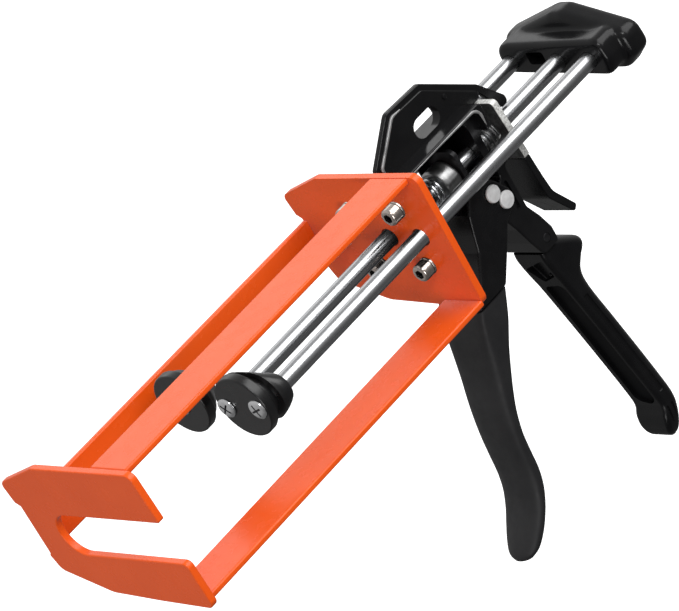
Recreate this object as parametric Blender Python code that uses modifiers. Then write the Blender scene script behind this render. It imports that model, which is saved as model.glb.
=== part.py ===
"""Hand-worked caulking gun for a twin cartridge: carriage, three rods, trigger drive, release."""

import math

import bmesh
import bpy
from mathutils import Matrix, Vector

MM = 0.001

# Driving dimensions, in millimetres.
# Origin: front face of the back plate, midway between the two cartridge barrels, on the rods.
# +X is the way the rods push, +Z is up, +Y is the side the front slot opens to.
ROD_D = 8.0
LEFT_Y = -20.1               # single rod, on the left barrel's centre
DRIVE_Y = 10.2               # driven rod, in the middle of the casting
RIGHT_Y = 30.0               # steadying rod outside the casting
BARREL_Y = 20.1              # right barrel's centre, between the drive rod and the right rod
BAY = 198.0                  # front face of the back plate to front face of the front plate
PLATE_T = 3.5
RAIL_T = 3.0
TOP_RAIL_Y = (18.8, 42.2)
BOTTOM_RAIL_Y = (22.6, 46.6)
SIDE_RAIL_Z = (-14.4, 9.6)
SIDE_RAIL_Y = -40.5          # outer face
BOTTOM_RAIL_Z = -37.0        # lower face
PLATE_TOP = 32.2
SLOT_Z = -3.55               # centre of the front slot
SLOT_H = 21.5
SLOT_END_Y = -24.0
BOLT_Y = (DRIVE_Y + 14.8, DRIVE_Y - 14.8)
BOLT_Z = 15.2
HEX_R = 2.31                 # corners of the bolts' hexagon sockets
PUSHER_FACE_X = 117.0
PUSHER_D = 30.6
ROD_FRONT_X = 109.0
TAIL_FACE_X = -130.0
BODY_HALF = 12.0             # half width of the casting
FIN_T = 4.6
SHELF_Z = 21.5               # top of the cage
SPRING_SEAT_X = -64.2        # floor of the release spring's seat in the cage's rear wall
PIVOT_X, PIVOT_Z = -54.6, -21.0
DRIVE_PIN_X, DRIVE_PIN_Z = -49.4, -14.0
CHEEK_IN, CHEEK_OUT = 12.4, 14.2
LEVER_PIVOT_X, LEVER_PIVOT_Z = -79.3, 15.0
RELEASE_LEAN = 0.0705        # how far the release plate leans back for each millimetre down
GRIP_HALF = 10.2
GAP = 0.3                    # between pieces that touch

ORANGE = (0.78, 0.16, 0.03)
BLACK = (0.02, 0.02, 0.022)
STEEL = (0.62, 0.63, 0.65)
ZINC = (0.72, 0.73, 0.75)


# ---------- helpers ----------

def collection(name, hidden=False):
    made = bpy.data.collections.new(name)
    bpy.context.scene.collection.children.link(made)
    made.hide_render = hidden
    return made


def material(name, colour, metallic, roughness):
    found = bpy.data.materials.get(name)
    if found:
        return found
    made = bpy.data.materials.new(name)
    made.use_nodes = True
    shader = made.node_tree.nodes["Principled BSDF"]
    shader.inputs["Base Color"].default_value = (*colour, 1.0)
    shader.inputs["Metallic"].default_value = metallic
    shader.inputs["Roughness"].default_value = roughness
    return made


LOOKS = {
    "orange": (ORANGE, 0.0, 0.3),
    "black": (BLACK, 0.0, 0.25),
    "sleeve": ((0.03, 0.03, 0.032), 0.0, 0.5),
    "steel": (STEEL, 1.0, 0.15),
    "zinc": (ZINC, 1.0, 0.35),
    "dark_steel": ((0.2, 0.2, 0.21), 1.0, 0.35),
}


def finish(name, mesh, look, where, matrix=None):
    mesh.shade_smooth()
    mesh.set_sharp_from_angle(angle=math.radians(35.0))
    mesh.materials.clear()
    mesh.materials.append(material(look + "_" + name, *LOOKS[look]))
    made = bpy.data.objects.new(name, mesh)
    if matrix is not None:
        made.matrix_world = matrix
    where.objects.link(made)
    return made


def from_curve(name, curve, look, where, matrix=None):
    """Curve made into a welded mesh, so that it can be cut and bevelled."""
    shape = bpy.data.objects.new(name + "_curve", curve)
    where.objects.link(shape)
    graph = bpy.context.evaluated_depsgraph_get()
    mesh = bpy.data.meshes.new_from_object(shape.evaluated_get(graph))
    bpy.data.objects.remove(shape, do_unlink=True)
    bpy.data.curves.remove(curve)
    bm = bmesh.new()
    bm.from_mesh(mesh)
    bmesh.ops.remove_doubles(bm, verts=bm.verts, dist=0.000002)
    bmesh.ops.dissolve_limit(bm, angle_limit=math.radians(0.2), verts=bm.verts, edges=bm.edges)
    bmesh.ops.recalc_face_normals(bm, faces=bm.faces)
    bm.to_mesh(mesh)
    bm.free()
    mesh.name = name
    return finish(name, mesh, look, where, matrix)


def rounded(corners, steps=4):
    """Outline with an arc at each (u, v, radius) corner; radius 0 keeps the corner sharp."""
    out = []
    count = len(corners)
    for i, (u, v, radius) in enumerate(corners):
        here = Vector((u, v))
        before = Vector(corners[i - 1][:2]) - here
        after = Vector(corners[(i + 1) % count][:2]) - here
        if radius <= 0:
            out.append((u, v))
            continue
        half = before.angle(after) / 2
        reach = min(radius / math.tan(half), 0.48 * before.length, 0.48 * after.length)
        used = reach * math.tan(half)
        start, end = here + before.normalized() * reach, here + after.normalized() * reach
        middle = here + (before.normalized() + after.normalized()).normalized() * (used / math.sin(half))
        a, b = start - middle, end - middle
        turn = math.atan2(a.x * b.y - a.y * b.x, a.dot(b))
        for k in range(steps + 1):
            t = turn * k / steps
            out.append((middle.x + a.x * math.cos(t) - a.y * math.sin(t),
                        middle.y + a.x * math.sin(t) + a.y * math.cos(t)))
    return out


def facing(along, at=(0.0, 0.0, 0.0)):
    """Matrix that turns local Z to the named axis and moves the origin to a point in millimetres."""
    turn = {"X": Matrix(((0, 0, 1), (1, 0, 0), (0, 1, 0))),
            "Y": Matrix(((1, 0, 0), (0, 0, -1), (0, 1, 0))),
            "Z": Matrix.Identity(3)}[along]
    return Matrix.Translation(Vector(at) * MM) @ turn.to_4x4()


def prism(name, outline, along, low, high, look, where):
    """Flat outline pushed from low to high: (y, z) along X, (x, z) along Y, (x, y) along Z."""
    curve = bpy.data.curves.new(name, "CURVE")
    curve.dimensions = "2D"
    curve.fill_mode = "BOTH"
    curve.extrude = (high - low) / 2 * MM
    spline = curve.splines.new("POLY")
    spline.points.add(len(outline) - 1)
    for point, (u, v) in zip(spline.points, outline):
        point.co = (u * MM, v * MM, 0.0, 1.0)
    spline.use_cyclic_u = True
    middle = (low + high) / 2
    at = {"X": (middle, 0, 0), "Y": (0, middle, 0), "Z": (0, 0, middle)}[along]
    return from_curve(name, curve, look, where, facing(along, at))


def screw(name, profile, closed, look, where, sides, matrix):
    """Profile of (height, radius), listed from low to high, turned about local Z."""
    points = list(reversed(profile))
    if not closed:
        points = [(points[0][0], 0.0)] + points + [(points[-1][0], 0.0)]
    edges = [(i, i + 1) for i in range(len(points) - 1)]
    if closed:
        edges.append((len(points) - 1, 0))
    mesh = bpy.data.meshes.new(name)
    mesh.from_pydata([(r * MM, 0.0, h * MM) for h, r in points], edges, [])
    made = finish(name, mesh, look, where, matrix)
    step = made.modifiers.new("Turn", "SCREW")
    step.axis = "Z"
    step.steps = step.render_steps = sides
    step.use_merge_vertices = True
    step.merge_threshold = 0.00001
    return made


def turned(name, profile, y, z, look, where, sides=20):
    """Body turned about an axis along X at (y, z): profile of (x, radius)."""
    return screw(name, profile, False, look, where, sides, facing("X", (0, y, z)))


def ring(name, profile, y, z, look, where, sides=20):
    """Ring about an axis along X: closed profile of (x, radius), outer side first from low to high."""
    return screw(name, profile, True, look, where, sides, facing("X", (0, y, z)))


def cross_pin(name, profile, x, z, look, where, sides=20):
    """Pin along Y at (x, z): profile of (y, radius)."""
    flipped = [(-y, radius) for y, radius in reversed(profile)]
    return screw(name, flipped, False, look, where, sides, facing("Y", (x, 0, z)))


def coil(name, x0, x1, y, z, radius, wire, turns, look, where, per_turn=12):
    """Compression spring about an axis along X, with closed end coils."""
    steps = int(turns * per_turn)
    curve = bpy.data.curves.new(name, "CURVE")
    curve.dimensions = "3D"
    curve.bevel_depth = wire / 2 * MM
    curve.bevel_resolution = 2
    curve.use_fill_caps = True
    spline = curve.splines.new("POLY")
    spline.points.add(steps)
    for i, point in enumerate(spline.points):
        t = i / steps
        along = x0 + (x1 - x0) * (t - 0.045 * math.sin(2 * math.pi * t))
        a = 2 * math.pi * turns * t
        point.co = (along * MM, (y + radius * math.cos(a)) * MM, (z + radius * math.sin(a)) * MM, 1.0)
    return from_curve(name, curve, look, where)


def loft(name, sections, look, where):
    """Skin over unlike sections of equal length, capped at both ends."""
    bm = bmesh.new()
    rows = [[bm.verts.new(Vector(p) * MM) for p in section] for section in sections]
    count = len(rows[0])
    for one, two in zip(rows, rows[1:]):
        for i in range(count):
            j = (i + 1) % count
            bm.faces.new((one[i], one[j], two[j], two[i]))
    bm.faces.new(rows[0])
    bm.faces.new(rows[-1])
    bmesh.ops.recalc_face_normals(bm, faces=bm.faces)
    mesh = bpy.data.meshes.new(name)
    bm.to_mesh(mesh)
    bm.free()
    return finish(name, mesh, look, where)


def combine(body, tool, operation):
    step = body.modifiers.new(operation.title(), "BOOLEAN")
    step.operation = operation
    step.solver = "EXACT"
    step.object = tool


def cut(body, *tools):
    for tool in tools:
        combine(body, tool, "DIFFERENCE")


def join(body, *tools):
    for tool in tools:
        combine(body, tool, "UNION")


def soften(body, width, segments=2, angle=32.0):
    step = body.modifiers.new("Edges", "BEVEL")
    step.width = width * MM
    step.segments = segments
    step.limit_method = "ANGLE"
    step.angle_limit = math.radians(angle)
    step.use_clamp_overlap = True


def hidden_tool(body):
    body.hide_render = True
    body.display_type = "WIRE"
    return body


def cylinder(name, low, high, diameter, sides, matrix, where):
    """Plain cylinder from low to high along local Z."""
    bm = bmesh.new()
    radius = diameter / 2 * MM
    bmesh.ops.create_cone(bm, cap_ends=True, segments=sides, radius1=radius, radius2=radius,
                          depth=(high - low) * MM)
    bmesh.ops.translate(bm, verts=bm.verts, vec=(0, 0, (low + high) / 2 * MM))
    mesh = bpy.data.meshes.new(name)
    bm.to_mesh(mesh)
    bm.free()
    return finish(name, mesh, "steel", where, matrix)


def bore(name, x0, x1, y, z, diameter, tools, sides=24):
    return hidden_tool(cylinder(name, x0, x1, diameter, sides, facing("X", (0, y, z)), tools))


def cross_bore(name, y0, y1, x, z, diameter, tools, sides=24):
    return hidden_tool(cylinder(name, -y1, -y0, diameter, sides, facing("Y", (x, 0, z)), tools))


def block(name, outline, along, low, high, tools):
    return hidden_tool(prism(name, outline, along, low, high, "steel", tools))


# ---------- orange carriage ----------

def plate_corners():
    """Left side of both plates, from the top edge round to the bottom edge."""
    return [(18.0, -36.9, 30), (-12.5, -34.8, 14), (-39.4, -24.4, 5), (-41.8, -16.4, 0.8),
            (-40.6, -15.2, 0.6), (-40.6, 10.4, 0.6), (-43.2, 12.4, 0.8), (-44.8, 23.2, 3.5),
            (-17.5, PLATE_TOP, 6)]


def front_plate(parts):
    top, bottom = SLOT_Z + SLOT_H / 2, SLOT_Z - SLOT_H / 2
    corners = [(47.3, PLATE_TOP, 4), (48.8, top, 1.2), (SLOT_END_Y, top, SLOT_H / 2 - 0.3),
               (SLOT_END_Y, bottom, SLOT_H / 2 - 0.3), (49.6, bottom, 3.0), (50.6, -38.4, 3.5)]
    outline = rounded(corners + plate_corners(), 7)
    plate = prism("front_plate", outline, "X", BAY - PLATE_T, BAY, "orange", parts)
    soften(plate, 0.5, 1)
    return plate


def back_plate(parts, tools):
    corners = [(47.0, PLATE_TOP, 4), (46.0, -37.6, 4.5)]
    plate = prism("back_plate", rounded(corners + plate_corners(), 7), "X", -PLATE_T, 0.0, "orange", parts)
    soften(plate, 0.5, 1)
    for i, y in enumerate((LEFT_Y, DRIVE_Y, RIGHT_Y)):
        cut(plate, bore("back_plate_rod_hole_%d" % (i + 1), -9, 5, y, 0, ROD_D + 1.2, tools))
    for i, y in enumerate(BOLT_Y):
        for j, z in enumerate((BOLT_Z, -BOLT_Z)):
            cut(plate, bore("back_plate_bolt_hole_%d%d" % (i + 1, j + 1), -9, 5, y, z, 5.6, tools, 20))
    return plate


def rails(parts):
    """Flat strips between the plates: (name, y from, y to, z from, z to)."""
    strips = [("top_rail", *TOP_RAIL_Y, PLATE_TOP - RAIL_T, PLATE_TOP),
              ("side_rail", SIDE_RAIL_Y, SIDE_RAIL_Y + RAIL_T, *SIDE_RAIL_Z),
              ("bottom_rail", *BOTTOM_RAIL_Y, BOTTOM_RAIL_Z, BOTTOM_RAIL_Z + RAIL_T)]
    for name, y0, y1, z0, z1 in strips:
        outline = [(y0, z0), (y1, z0), (y1, z1), (y0, z1)]
        rail = prism(name, outline, "X", GAP, BAY - PLATE_T - GAP, "orange", parts)
        soften(rail, 0.6)


def bolts(parts, tools):
    spots = [(y, z) for y in BOLT_Y for z in (BOLT_Z, -BOLT_Z)]
    for i, (y, z) in enumerate(spots):
        section = [(1.3, 2.7), (GAP, 2.7), (GAP, 4.8), (1.3, 4.8)]
        ring("bolt_washer_%d" % (i + 1), section, y, z, "zinc", parts)
        profile = [(-15.4, 1.9), (-14.8, 2.5), (1.6, 2.5), (1.6, 4.0), (1.85, 4.25), (6.4, 4.25), (6.9, 3.8)]
        bolt = turned("cap_bolt_%d" % (i + 1), profile, y, z, "steel", parts)
        turns = [math.pi * k / 3 for k in range(6)]
        hexagon = [(y + HEX_R * math.cos(a), z + HEX_R * math.sin(a)) for a in turns]
        cut(bolt, block("cap_bolt_socket_%d" % (i + 1), hexagon, "X", 4.2, 8, tools))


# ---------- casting ----------

# Side outlines of the casting: (x, z, corner radius).
CAGE_SIDE = [(-4.6, -21.0, 1), (-4.6, SHELF_Z, 1), (-70.0, SHELF_Z, 3), (-70.0, -8.6, 2), (-65.4, -10.8, 2),
             (-65.4, -33.0, 6), (-69.4, -41.0, 6), (-72.4, -49.5, 2), (-72.4, -57.0, 2), (-61.0, -57.0, 4),
             (-57.5, -48.0, 8), (-54.2, -38.0, 6), (-49.6, -27.0, 3), (-48.4, -20.6, 2.5), (-53.0, -15.6, 2),
             (-60.0, -14.0, 3), (-60.0, 19.4, 8), (-11.5, 19.4, 3), (-11.5, -21.0, 1)]
FIN_SIDE = [(-9.7, 18.0, 0), (-9.7, 28.2, 2), (-29.6, 44.6, 4), (-53.0, 43.8, 4), (-81.6, 22.6, 5),
            (-92.8, 8.6, 3), (-92.6, 5.0, 1.8), (-88.4, 4.8, 1.4), (-84.4, 10.6, 4), (-80.0, 19.5, 2),
            (-68.0, 19.5, 0)]
FIN_SLOT = [(-54.8, 22.9, 4.6), (-54.8, 32.6, 4.8), (-37.8, 32.6, 4.8), (-37.8, 22.9, 4.6)]
FIN_STUD = (-61.5, 30.6)
GRIP_PIN = (-66.5, -51.5)


def housing(parts, tools):
    """Casting: cage, front flange, hanging fin, bolt bosses and the neck down to the grip."""
    low, high = DRIVE_Y - BODY_HALF, DRIVE_Y + BODY_HALF
    cage = prism("housing", rounded(CAGE_SIDE, 5), "Y", low, high, "black", parts)
    flange = block("housing_flange", rounded([(-10.4, -21.0, 3), (30.8, -21.0, 3), (30.8, 21.3, 3),
                                              (-10.4, 21.3, 3)]), "X", -8.2, -PLATE_T - GAP, tools)
    fin = block("housing_fin", rounded(FIN_SIDE, 5), "Y", DRIVE_Y - FIN_T / 2, DRIVE_Y + FIN_T / 2, tools)
    join(cage, flange, fin)
    soften(cage, 0.5, 1, 38.0)
    for i, y in enumerate(BOLT_Y):
        for j, z in enumerate((BOLT_Z, -BOLT_Z)):
            name = "%d%d" % (i + 1, j + 1)
            join(cage, bore("housing_boss_" + name, -12.6, -4.2, y, z, 10.8, tools, 24))
            cut(cage, bore("housing_bolt_hole_" + name, -30, 2, y, z, 5.6, tools, 20))
    join(cage, cross_bore("fin_stud", DRIVE_Y, DRIVE_Y + FIN_T / 2 + 0.8, *FIN_STUD, 2.6, tools, 12))
    cut(cage, block("fin_slot", rounded(FIN_SLOT), "Y", 0, 20, tools))
    cut(cage, bore("housing_rod_bore", -90, 2, DRIVE_Y, 0, ROD_D + 1.0, tools))
    cut(cage, bore("housing_right_rod_way", -90, 2, RIGHT_Y, 0, 11.0, tools))
    cut(cage, bore("release_spring_seat", -72, SPRING_SEAT_X, DRIVE_Y, 0, 13.4, tools))
    opening = [(-72.0, -7.0), (SPRING_SEAT_X, -7.0), (SPRING_SEAT_X, 9.0), (-72.0, 9.0)]
    cut(cage, block("release_spring_window", opening, "Y", DRIVE_Y + 1.5, high + 1, tools))
    side_opening = rounded([(-58.0, 19.4, 0), (-66.4, 19.4, 7), (-66.4, -7.0, 0), (-58.0, -7.0, 0)])
    cut(cage, block("cage_side_opening", side_opening, "Y", high - 4, high + 1, tools))
    cut(cage, cross_bore("housing_pivot_bore", -20, 40, PIVOT_X, PIVOT_Z, 5.6, tools))
    socket = rounded([(-70.4, -45.4, 1), (-62.6, -45.4, 1), (-62.6, -60, 0), (-70.4, -60, 0)])
    cut(cage, block("housing_grip_socket", socket, "Y", DRIVE_Y - 6.3, DRIVE_Y + 6.3, tools))
    cut(cage, cross_bore("housing_grip_pin_bore", -20, 40, *GRIP_PIN, 4.4, tools))
    for side, low_y, high_y in (("left", low - 3, low + 1.1), ("right", high - 1.1, high + 3)):
        groove = rounded([(-59.4, -31.0, 1.2), (-62.0, -31.0, 1.2), (-62.0, -15.5, 1.2), (-59.4, -15.5, 1.2)])
        cut(cage, block("housing_groove_" + side, groove, "Y", low_y, high_y, tools))
    return cage


# Grip stations: height, front face, rear face, half width.
GRIP = [(-57.3, -61.2, -74.8, 10.2), (-61.0, -61.2, -80.6, 10.2), (-65.6, -62.0, -87.0, 10.2),
        (-69.2, -62.8, -87.8, 10.2), (-73.0, -63.7, -83.6, 10.2), (-78.6, -65.1, -79.6, 10.2),
        (-88.0, -67.1, -79.0, 10.1), (-108.0, -71.1, -82.8, 9.9), (-133.0, -75.9, -87.6, 9.8),
        (-154.0, -79.8, -91.0, 10.0), (-161.0, -80.4, -91.6, 10.1), (-165.6, -78.3, -91.2, 10.2),
        (-171.0, -77.3, -89.4, 9.6), (-175.6, -78.4, -86.8, 8.0), (-178.4, -81.0, -84.2, 5.4)]
GRIP_FRONT_R, GRIP_REAR_R = 2.2, 5.6
PANEL_DEPTH, FLUTE_DEPTH = 1.6, 1.0


def grip_section(z, front, rear, half):
    """Section of the grip: nearly square in front, well rounded behind."""
    near, far = DRIVE_Y - half, DRIVE_Y + half
    reach = min(GRIP_REAR_R, half - 1.5, (front - rear) / 2)
    corners = [(front, near, GRIP_FRONT_R), (front, far, GRIP_FRONT_R), (rear, far, reach),
               (rear, near, reach)]
    return [(x, y, z) for x, y in rounded(corners)]


def grip(parts, tools):
    low, high = DRIVE_Y - GRIP_HALF, DRIVE_Y + GRIP_HALF
    handle = loft("grip", [grip_section(*row) for row in GRIP], "black", parts)
    front = [(row[1] - PANEL_DEPTH, row[0]) for row in GRIP[6:10]]
    panel = [(-50, -154), (-50, -88)] + front
    cut(handle, block("grip_front_panel", panel, "Y", DRIVE_Y - 7.2, DRIVE_Y + 7.2, tools))
    pocket = rounded([(17.6, -60.6, 1.5), (17.6, -70.4, 1.5), (9.4, -74.4, 1.5), (3.0, -66.0, 1.5)])
    cut(handle, block("grip_pocket", pocket, "X", -66.6, -50, tools))
    flute = [(-69.4, -88.0, 1), (-72.4, -88.0, 1), (-76.6, -108.0, 9), (-81.4, -133.0, 9), (-85.6, -155.0, 1),
             (-82.8, -157.0, 1), (-78.6, -133.0, 9), (-73.8, -108.0, 9)]
    for side, a, b in (("left", low - 3, low + FLUTE_DEPTH), ("right", high - FLUTE_DEPTH, high + 3)):
        cut(handle, block("grip_flute_" + side, rounded(flute, 3), "Y", a, b, tools))
    tenon = block("grip_tenon", [(-70.1, -45.7), (-62.9, -45.7), (-62.9, -60), (-70.1, -60)], "Y",
                  DRIVE_Y - 6, DRIVE_Y + 6, tools)
    join(handle, tenon)
    cut(handle, cross_bore("grip_pin_bore", -20, 40, *GRIP_PIN, 4.4, tools))
    return handle


def grip_pin(parts):
    reach = BODY_HALF - 0.6
    return cross_pin("grip_pin", [(DRIVE_Y - reach, 1.7), (DRIVE_Y - reach + 0.4, 2.0),
                                  (DRIVE_Y + reach - 0.4, 2.0), (DRIVE_Y + reach, 1.7)],
                     *GRIP_PIN, "dark_steel", parts)


# ---------- rods, tail and pushers ----------

def rods(parts):
    made = []
    for name, y in (("left_rod", LEFT_Y), ("drive_rod", DRIVE_Y), ("right_rod", RIGHT_Y)):
        r = ROD_D / 2
        profile = [(TAIL_FACE_X - 9.0, r - 0.5), (TAIL_FACE_X - 8.5, r), (ROD_FRONT_X - 0.5, r),
                   (ROD_FRONT_X, r - 0.5)]
        made.append(turned(name, profile, y, 0, "steel", parts, 24))
    return made


def tail_handle(parts, tools):
    """Pull handle: a block that holds the rods, in front of a wider peaked cap."""
    x = TAIL_FACE_X
    front = rounded([(-27.0, -6.4, 6), (39.6, -9.6, 5), (41.4, -1.0, 6), (39.6, 9.6, 6.5),
                     (-27.0, 9.6, 6.5)], 6)
    body = prism("tail_handle", front, "X", x - 13.0, x, "black", parts)
    soften(body, 2.0, 2, 40.0)
    cap = block("tail_cap", rounded([(-33.0, -5.4, 5), (-26.0, -12.6, 6), (37.0, -14.0, 6), (46.4, -6.4, 5),
                                     (45.2, 5.8, 7), (11.0, 18.0, 8), (4.0, 18.0, 8), (-32.4, 6.6, 7)], 6),
                "X", x - 24.0, x - 10.6, tools)
    soften(cap, 3.2, 2, 40.0)
    join(body, cap)
    for i, y in enumerate((LEFT_Y, DRIVE_Y, RIGHT_Y)):
        cut(body, bore("tail_rod_socket_%d" % (i + 1), x - 9.5, x + 3, y, 0, ROD_D + 0.6, tools))
        cut(body, bore("tail_screw_way_%d" % (i + 1), x - 22, x - 7, y, 0, 4.6, tools))
        cut(body, bore("tail_screw_recess_%d" % (i + 1), x - 40, x - 20.6, y, 0, 10.4, tools))
    pocket = rounded([(-8.2, -1.4, 1.4), (2.4, -1.4, 1.4), (2.4, 5.2, 1.4), (-8.2, 5.2, 1.4)])
    cut(body, block("tail_pocket", pocket, "X", x - 7, x + 3, tools))
    return body


def cross_recess(name, x0, x1, y, z, tools, size=2.3, width=0.95, turn=0.5):
    """Cross-shaped driver recess cut along X."""
    w, s = width / 2, size
    flat = [(w, w), (s, w), (s, -w), (w, -w), (w, -s), (-w, -s), (-w, -w), (-s, -w), (-s, w), (-w, w),
            (-w, s), (w, s)]
    c, d = math.cos(turn), math.sin(turn)
    return block(name, [(y + u * c - v * d, z + u * d + v * c) for u, v in flat], "X", x0, x1, tools)


def tail_screws(parts, tools):
    made = []
    x = TAIL_FACE_X - 20.3
    for i, y in enumerate((LEFT_Y, DRIVE_Y, RIGHT_Y)):
        profile = [(TAIL_FACE_X - 9.3, 1.6), (TAIL_FACE_X - 9.8, 2.0), (x - GAP, 2.0), (x - GAP, 4.7),
                   (x - 2.2, 4.2), (x - 3.0, 2.8)]
        screw = turned("tail_screw_%d" % (i + 1), profile, y, 0, "zinc", parts, 20)
        cut(screw, cross_recess("tail_screw_cross_%d" % (i + 1), x - 5, x - 1.5, y, 0, tools))
        made.append(screw)
    return made


def hull_section(x, y_low, y_high, radius, sides=32):
    """Section at x round two circles of equal radius, at y_low and y_high."""
    section = []
    for k in range(sides):
        a = 2 * math.pi * (k + 0.5) / sides
        y = (y_high if math.cos(a) > 0 else y_low) + radius * math.cos(a)
        section.append((x, y, radius * math.sin(a)))
    return section


def pusher(name, centre, rod_ys, parts, tools):
    """Disc with a tapered boss that the rod ends sit in."""
    face, r = PUSHER_FACE_X, PUSHER_D / 2
    low, high = min(rod_ys), max(rod_ys)
    half = (high - low) / 2
    boss = 6.6
    rows = [(face, 0, r - 0.5), (face - 0.5, 0, r), (face - 4.4, 0, r), (face - 5.0, 0, r - 0.5),
            (face - 7.4, 0.4, r - 1.6), (face - 11.0, 0.85, boss + 2.8), (face - 15.0, 1, boss + 0.5),
            (face - 15.8, 1, boss - 0.4)]
    sections = []
    for x, blend, radius in rows:
        spread = half * blend
        inner = radius - spread if radius > 12 else radius
        sections.append(hull_section(x, centre - spread, centre + spread, inner))
    made = loft(name, sections, "black", parts)
    for i, y in enumerate(rod_ys):
        cut(made, bore(name + "_socket_%d" % (i + 1), face - 40, ROD_FRONT_X + GAP, y, 0, ROD_D + 0.6, tools))
        cut(made, bore(name + "_screw_way_%d" % (i + 1), ROD_FRONT_X - 2, face + 5, y, 0, 4.6, tools))
    return made


def pusher_screws(parts, tools):
    made = []
    x = PUSHER_FACE_X
    for name, y in (("left_pusher_screw", LEFT_Y), ("right_pusher_screw_1", DRIVE_Y),
                    ("right_pusher_screw_2", RIGHT_Y)):
        profile = [(ROD_FRONT_X + GAP, 1.6), (ROD_FRONT_X + 0.8, 2.0), (x + GAP, 2.0), (x + GAP, 4.9),
                   (x + 0.9, 4.7), (x + 1.3, 3.9), (x + 1.5, 2.4)]
        screw = turned(name, profile, y, 0, "zinc", parts, 20)
        cut(screw, cross_recess(name + "_cross", x + 0.7, x + 5, y, 0, tools, 2.6, 1.0, 0.9))
        made.append(screw)
    return made


# ---------- trigger ----------

TRIGGER_SIDE = [(-37.6, -6.6, 2), (-32.6, -14.0, 3), (-30.0, -22.0, 4), (-27.6, -30.0, 4), (-20.0, -42.0, 6),
                (-12.6, -51.8, 0), (-32.6, -51.8, 0), (-41.2, -41.6, 8), (-50.2, -30.4, 8), (-59.0, -25.6, 4),
                (-60.4, -19.0, 4), (-54.0, -9.2, 4), (-48.0, -6.4, 3)]


def trigger_lever(parts, tools):
    """Folded steel lever: two cheeks outside the casting, joined by a web in front."""
    low, high = DRIVE_Y - CHEEK_OUT, DRIVE_Y + CHEEK_OUT
    lever = prism("trigger_lever", rounded(TRIGGER_SIDE), "Y", low, high, "black", parts)
    soften(lever, 0.8, 1, 40.0)
    inside = [(-80, 6), (-20, 6), (-20, -13.6), (-34.4, -13.6), (-31.9, -22.4), (-29.6, -30.8),
              (-24.0, -39.6), (-24.0, -46.4), (-80, -46.4)]
    cut(lever, block("trigger_channel", rounded([(u, v, 1.0) for u, v in inside], 3), "Y",
                     DRIVE_Y - CHEEK_IN, DRIVE_Y + CHEEK_IN, tools))
    tongue_side = [(-27.5, -50), (-18.6, -50), (-8.6, -76), (-15.4, -76)]
    tongue = block("trigger_tongue", tongue_side, "Y", DRIVE_Y - 6, DRIVE_Y + 6, tools)
    join(lever, tongue)
    cut(lever, cross_bore("trigger_pivot_bore", -20, 40, PIVOT_X, PIVOT_Z, 5.6, tools))
    cut(lever, cross_bore("trigger_pin_bore", -20, 40, DRIVE_PIN_X, DRIVE_PIN_Z, 4.6, tools))
    return lever


# Sleeve stations: height, front edge, rear edge, half width.
SLEEVE = [(-52.2, -12.6, -32.6, 14.0), (-57.0, -10.2, -30.4, 14.2), (-65.0, -7.4, -26.6, 14.2),
          (-75.0, -4.4, -20.4, 13.9), (-84.0, -1.6, -15.8, 13.5), (-92.0, 1.0, -11.8, 13.1),
          (-101.0, 3.2, -7.8, 12.7), (-111.0, 4.9, -4.9, 12.4), (-121.0, 6.2, -4.0, 12.2),
          (-130.0, 7.2, -3.4, 12.1), (-138.0, 9.2, -1.4, 12.0), (-145.5, 13.2, 2.4, 11.8),
          (-152.0, 18.8, 6.6, 11.2), (-157.0, 23.2, 10.6, 10.2), (-161.0, 26.0, 14.8, 8.6),
          (-163.8, 26.2, 18.4, 5.8)]


def sleeve_section(z, front, rear, half, sides=32):
    """Section of the sleeve with well rounded corners."""
    middle, depth = (front + rear) / 2, (front - rear) / 2
    section = []
    for k in range(sides):
        a = 2 * math.pi * (k + 0.5) / sides
        c, s = math.cos(a), math.sin(a)
        power = 0.62
        section.append((middle + depth * math.copysign(abs(c) ** power, c),
                        DRIVE_Y + half * math.copysign(abs(s) ** power, s), z))
    return section


def trigger_sleeve(parts, tools):
    sleeve = loft("trigger_sleeve", [sleeve_section(*row) for row in SLEEVE], "sleeve", parts)
    pocket = [(-28.9, -48), (-18.95, -48), (-8.0, -76.4), (-15.7, -76.4)]
    cut(sleeve, block("trigger_sleeve_pocket", pocket, "Y", DRIVE_Y - 6.3, DRIVE_Y + 6.3, tools))
    return sleeve


def trigger_pins(parts):
    head, shank = CHEEK_OUT + GAP, 2.5
    pivot = [(DRIVE_Y - head - 1.6, 3.2), (DRIVE_Y - head - 1.1, 4.1), (DRIVE_Y - head, 4.2),
             (DRIVE_Y - head, shank), (DRIVE_Y + head, shank), (DRIVE_Y + head, 4.2),
             (DRIVE_Y + head + 1.1, 4.1), (DRIVE_Y + head + 1.6, 3.2)]
    drive = [(y, 2.0 if r == shank else r) for y, r in pivot]
    return [cross_pin("trigger_pivot_rivet", pivot, PIVOT_X, PIVOT_Z, "zinc", parts),
            cross_pin("drive_pin_rivet", drive, DRIVE_PIN_X, DRIVE_PIN_Z, "zinc", parts)]


# ---------- drive and release ----------

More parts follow.
